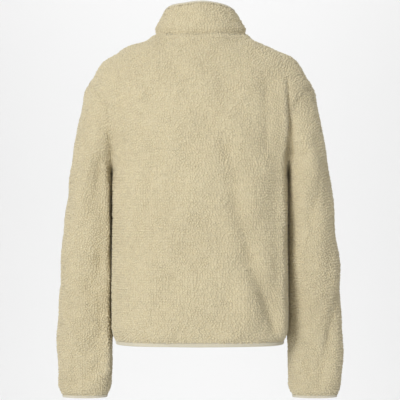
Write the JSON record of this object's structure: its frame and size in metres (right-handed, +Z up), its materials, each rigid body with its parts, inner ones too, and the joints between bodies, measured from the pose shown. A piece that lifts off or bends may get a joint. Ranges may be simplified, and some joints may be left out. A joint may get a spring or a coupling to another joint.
{
  "type": "track jacket",
  "caption": "Fleece track jacket with a stand-up collar, dropped shoulders, long sleeves, a front zip and pale edge bindings, filled out and hollow.",
  "frame": {"origin": "middle of the neck ring, between the two shoulder seams' neck ends, where the shoulders hold the jacket", "axes": "+Z up, the jacket's front faces -Y, the wearer's left arm is at +X"},
  "size_m": [0.5525, 0.2544, 0.7523],
  "materials": {
    "fleece": "curly pile fleece, matt",
    "binding": "flat off-white knit edge, matt",
    "tape": "woven zip tape with moulded teeth",
    "zip_metal": "satin metal"
  },
  "bodies": {
    "jacket": {"back": "fleece", "front_left": "fleece", "front_right": "fleece", "sleeve_left": "fleece", "sleeve_right": "fleece", "collar": "fleece", "collar_binding": "binding", "hem_binding": "binding", "cuff_binding_left": "binding", "cuff_binding_right": "binding", "zip_tape_left": "tape", "zip_tape_right": "tape", "zip_slider": "zip_metal", "zip_box": "zip_metal"},
    "pull": {"zip_pull": "zip_metal"}
  },
  "joints": [
    {"name": "pull_hinge", "type": "hinge", "parent": "jacket", "child": "pull", "pos_m": [0, -0.05851, 0.01176], "axis": [-1, 0, 0], "range_deg": [0, 160]}
  ]
}
